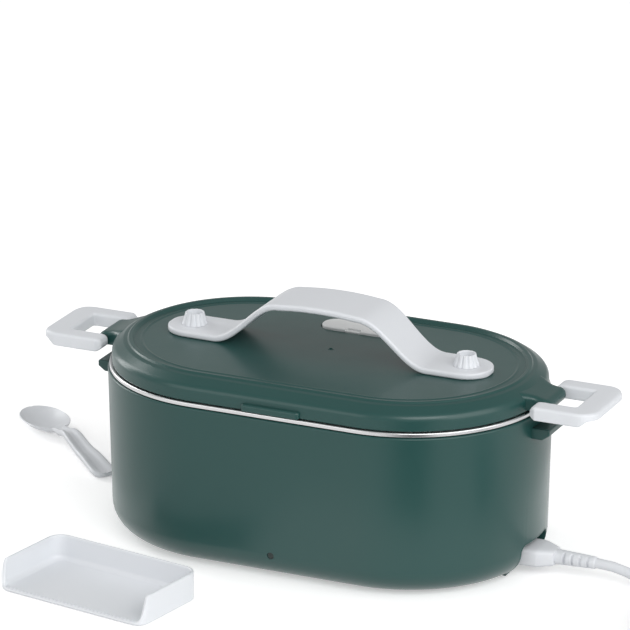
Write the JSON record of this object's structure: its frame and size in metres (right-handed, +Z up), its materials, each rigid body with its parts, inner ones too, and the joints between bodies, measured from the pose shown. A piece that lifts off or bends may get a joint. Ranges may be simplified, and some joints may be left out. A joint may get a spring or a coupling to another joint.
{
  "type": "electric lunch box",
  "caption": "Electric lunch box: heated base, steel food container, latching lid with a strap handle, separator, spoon and power cord.",
  "frame": {"origin": "on the table plane, under the middle of the base; the flat underside of the base is 1.6 mm above it, on the feet", "axes": "+X runs along the base to its right end, where the cord plugs in; +Y points to its back; +Z is up"},
  "size_m": [0.4826, 0.2473, 0.1206],
  "materials": {
    "green_plastic": "satin",
    "well_plastic": "satin",
    "steel": "satin",
    "white_plastic": "satin",
    "silicone": "matte",
    "foot_rubber": "matte",
    "aluminium": "satin",
    "plated_steel": "satin",
    "ceramic": "matte",
    "dark_plastic": "matte",
    "board": "satin",
    "lens": "clear",
    "wire": "satin",
    "contact_brass": "satin",
    "cord_white": "satin",
    "tie_black": "matte"
  },
  "bodies": {
    "base": {"base_shell": "green_plastic", "inner_well": "well_plastic", "bottom_cover": "green_plastic", "base_screws": "plated_steel", "rubber_feet": "foot_rubber", "heating_plate": "aluminium", "plate_gasket": "silicone", "ptc_heater": "ceramic", "heater_clamp": "aluminium", "clamp_screws": "plated_steel", "thermal_fuse": "ceramic", "inlet_socket": "dark_plastic", "inlet_pins": "plated_steel", "led_board": "board", "led_lamp": "lens", "inner_wires": "wire"},
    "container": {"food_container": "steel"},
    "lid": {"lid_shell": "green_plastic", "lid_inner_plate": "white_plastic", "lid_seal": "silicone", "handle_strap": "white_plastic", "handle_caps": "white_plastic", "handle_screws": "plated_steel", "latch_pins": "plated_steel"},
    "vent": {"vent_plug": "silicone"},
    "latch_left": {"latch_left": "white_plastic"},
    "latch_right": {"latch_right": "white_plastic"},
    "separator": {"separator": "white_plastic"},
    "spoon": {"spoon": "white_plastic"},
    "plug": {"plug_body": "cord_white", "plug_contacts": "contact_brass", "strain_relief": "cord_white", "power_cord": "cord_white", "cord_coil": "cord_white", "coil_tie": "tie_black", "cord_tail": "cord_white", "mains_plug": "cord_white", "mains_pins": "plated_steel"}
  },
  "joints": [
    {"name": "container_lift", "type": "slide", "parent": "base", "child": "container", "axis": [0, 0, 1], "range_m": [0, 0.083]},
    {"name": "lid_lift", "type": "slide", "parent": "container", "child": "lid", "axis": [0, 0, 1], "range_m": [0, 0.038]},
    {"name": "vent_pull", "type": "slide", "parent": "lid", "child": "vent", "axis": [0, 0, 1], "range_m": [0, 0.006]},
    {"name": "latch_left_turn", "type": "hinge", "parent": "lid", "child": "latch_left", "pos_m": [-0.1146, 0, 0.08725], "axis": [0, 1, 0], "range_deg": [-90, 0]},
    {"name": "latch_right_turn", "type": "hinge", "parent": "lid", "child": "latch_right", "pos_m": [0.1146, 0, 0.08725], "axis": [0, -1, 0], "range_deg": [-90, 0]},
    {"name": "plug_pull", "type": "slide", "parent": "base", "child": "plug", "axis": [1, 0, 0], "range_m": [0, 0.026]},
    {"name": "separator_lift", "type": "slide", "parent": "base", "child": "separator", "axis": [0, 0, -1], "range_m": [-0.05, 0]},
    {"name": "spoon_turn", "type": "hinge", "parent": "base", "child": "spoon", "pos_m": [-0.0935, 0.0438, 0.0506], "axis": [0.4926, 0.8533, 0.1711], "range_deg": [0, 91.7]}
  ]
}
